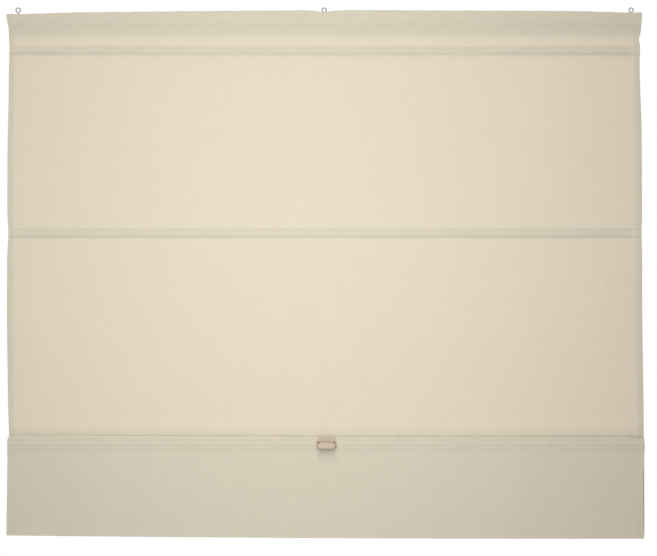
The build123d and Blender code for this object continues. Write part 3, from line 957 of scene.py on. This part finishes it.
hem_lengths = {"header_sheet": (FLAP_END - 2 * MM, header_low), **panels}
for name, (high, low) in hem_lengths.items():
    sew(name + "_hem_seams", side_rows(high, low, sheet_y, lie, waist))
sew("skirt_sheet_hem_seams", side_rows(RAIL_SEAM - 4 * MM, hem_low + HEM_DEPTH + 3 * MM, band_y,
                                       skirt_follow, skirt_outline))
print(sum(len(piece.data.polygons) for piece in stitch_pieces.values()), "faces of thread")

# %% [markdown]
# ## Riding on the moving bodies
# The blind has four bodies: the header with rod 1, rod 2, rod 3, and the rail with its
# skirt. A length of cloth that stays with one body rides on it. A length that folds is
# left where it is built, with a blend listed for it: two bodies, and the places where its
# weight would be 0 and 1. The smooth step hardly changes near its ends. So the loop's
# front takes the middle of it, 4 to 96 per cent, and the loop's back and the fold over
# the rail take the two ends.

# %% Bodies
header_body, rod_2_body, rod_3_body, rail_body = (
    "header_unit", "rod_2_unit", "rod_3_unit", "rail_unit")
INSIDE = 0.118  # where the smooth step has reached 0.04; 1 - INSIDE is where it has reached 0.96

upper_blend = (header_body, rod_2_body, (0, 0, upper_fold), (0, 0, upper_low))
lower_blend = (rod_2_body, rod_3_body, (0, 0, lower_fold), (0, 0, lower_low))
back_reach = (lower_low - turn_end) / INSIDE
back_blend = (rod_3_body, rail_body, (0, 0, lower_low), (0, 0, lower_low - back_reach))
front_reach = (fold_start - turn_end) / (1 - 2 * INSIDE)
front_low = turn_end - INSIDE * front_reach
front_blend = (rod_3_body, rail_body, (0, 0, front_low), (0, 0, front_low + front_reach))
fold_reach = (rising_y - band_y) / INSIDE
fold_blend = (rod_3_body, rail_body, (0, band_y + fold_reach, 0), (0, band_y, 0))

# each sheet: how it moves, the node it replaces, and what it hangs from
sheets = {
    "header_sheet": (header_body, "cloth_header", "header_batten"),
    "upper_panel_still": (header_body, "cloth_panel_upper", "header_sheet"),
    "upper_panel_folding": (upper_blend, "cloth_panel_upper", "upper_panel_still"),
    "lower_panel_still": (rod_2_body, "cloth_panel_lower", "upper_panel_folding"),
    "lower_panel_folding": (lower_blend, "cloth_panel_lower", "lower_panel_still"),
    "loop_back": (back_blend, "cloth_loop", "lower_panel_folding"),
    "loop_front": (front_blend, "cloth_loop", "loop_back"),
    "loop_fold": (fold_blend, "cloth_loop", "bottom_rail"),
    "skirt_sheet": (rail_body, "cloth_skirt", "bottom_rail"),
    "rod_pocket_1_tape": (header_body, "rod_pocket_1", "header_sheet"),
    "rod_pocket_2_tape": (rod_2_body, "rod_pocket_2", "lower_panel_still"),
    "rod_pocket_3_tape": (rod_3_body, "rod_pocket_3", "loop_back"),
    "rail_pocket_tape": (rail_body, "rail_pocket", "skirt_sheet")}
moves = {name: entry[0] for name, entry in sheets.items()}
moves |= {"rod_1_seams": header_body, "rod_2_seams": rod_2_body, "rod_3_seams": rod_3_body,
          "header_seam": header_body, "skirt_seams": rail_body,
          "skirt_sheet_hem_seams": rail_body}
moves.update({name + "_hem_seams": moves[name] for name in hem_lengths})
made = {name: entry[0] for name, entry in pieces_made.items()} | stitch_pieces
for name, piece in made.items():
    if isinstance(moves[name], str):
        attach(piece, moves[name])
    else:
        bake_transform(piece)

# %% [markdown]
# ## What each piece stands for
# A modelled length of cloth replaces the plain solid that the construction model keeps
# for weight and collision, and that solid is hidden. The size each length was cut to is
# kept with it.

# %% Replaced nodes
for name, (piece, width, length) in pieces_made.items():
    _, node, support = sheets[name]
    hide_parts(node)
print(len(pieces_made), "sheets declared")

# %% [markdown]
# ## Light, floor and camera
# The blind hangs in an even, bright room. A white world lights it from all round, a
# tall panel lights its face, a soft box high up draws the shadows under the slat, the
# rail's fold and the pull, and a lamp behind shines through the cloth.

# %% World and lamps
scene = bpy.context.scene
scene.view_settings.view_transform = "Standard"
world = bpy.data.worlds.new("bright room")
scene.world = world
world.use_nodes = True
sky = world.node_tree
sky.nodes.clear()
ROOM_LIGHT = 0.36
# the wall seen behind is plain white, but the room's own light is only part of the light
lit_by = add_node(sky, "Background", {"Color": paint("#FFFFFF"), "Strength": ROOM_LIGHT})
seen = add_node(sky, "Background", {"Color": paint("#FFFFFF"), "Strength": 1.0})
ray = add_node(sky, "LightPath")
either = add_node(sky, "MixShader", {"Fac": ray.outputs["Is Camera Ray"],
                                     1: lit_by.outputs[0], 2: seen.outputs[0]})
add_node(sky, "OutputWorld", {"Surface": either.outputs[0]})


def area_lamp(name, place, aim, width, height, power):
    """A rectangular lamp at a place, turned to face its aim."""
    data = bpy.data.lights.new(name, "AREA")
    data.shape = "RECTANGLE"
    data.size, data.size_y = width, height
    data.energy = power
    lamp = bpy.data.objects.new(name, data)
    lamp.location = place
    direction = Vector(aim) - Vector(place)
    lamp.rotation_euler = direction.to_track_quat("-Z", "Y").to_euler()
    scene.collection.objects.link(lamp)
    return lamp


# a tall panel just left of the middle: its light falls off sideways, hardly up and down
strip = area_lamp("tall strip lamp", (-0.08, -1.15, -0.5), (-0.08, 0, -0.5), 1.0, 1.6, 14.2)
# a soft box high up and further off
high = area_lamp("high soft box", (-0.2, -2.2, 2.9), (-0.1, 0, -0.6), 0.8, 0.8, 45)
# a big lamp behind, as daylight would come: cloth of one layer glows, doubled cloth doesn't
window = area_lamp("lamp behind", (0.0, 2.6, 0.6), (0, 0, -0.5), 2.0, 2.0, 43)
print("lamps:", strip.name, "|", high.name, "|", window.name)

# %% Floor
FLOOR_DROP = 1.2  # below the hem, as under a window
floor_radius = 9.0
angle = np.linspace(0, 2 * np.pi, 64, endpoint=False)
rim = np.stack([floor_radius * np.cos(angle), floor_radius * np.sin(angle),
                np.full_like(angle, hem_low - FLOOR_DROP)], -1)
plaster = finish("pale matt floor", "#F2F1EE", "#ECEBE8", (30, 30, 30), (0.8, 0.9))
floor = mesh_piece("floor", rim, np.arange(64)[None, :].tolist(), plaster, smooth=False)
print("floor at", round(hem_low - FLOOR_DROP, 3))

# %% Camera
camera_data = bpy.data.cameras.new("camera")
camera = bpy.data.objects.new("camera", camera_data)
scene.collection.objects.link(camera)
camera_data.sensor_width = 36
distance, frame_width = 5.0, 1444 * MM
camera_data.lens = 36 * (distance + pocket_front) / frame_width
aim_x, aim_z, pitch = 9.5 * MM, -571 * MM, np.radians(1.0)
camera.location = (aim_x, -distance, aim_z - distance * np.tan(pitch))
camera.rotation_euler = (np.pi / 2 + pitch, 0, 0)
scene.camera = camera
print("lens", round(camera_data.lens, 1), "mm")
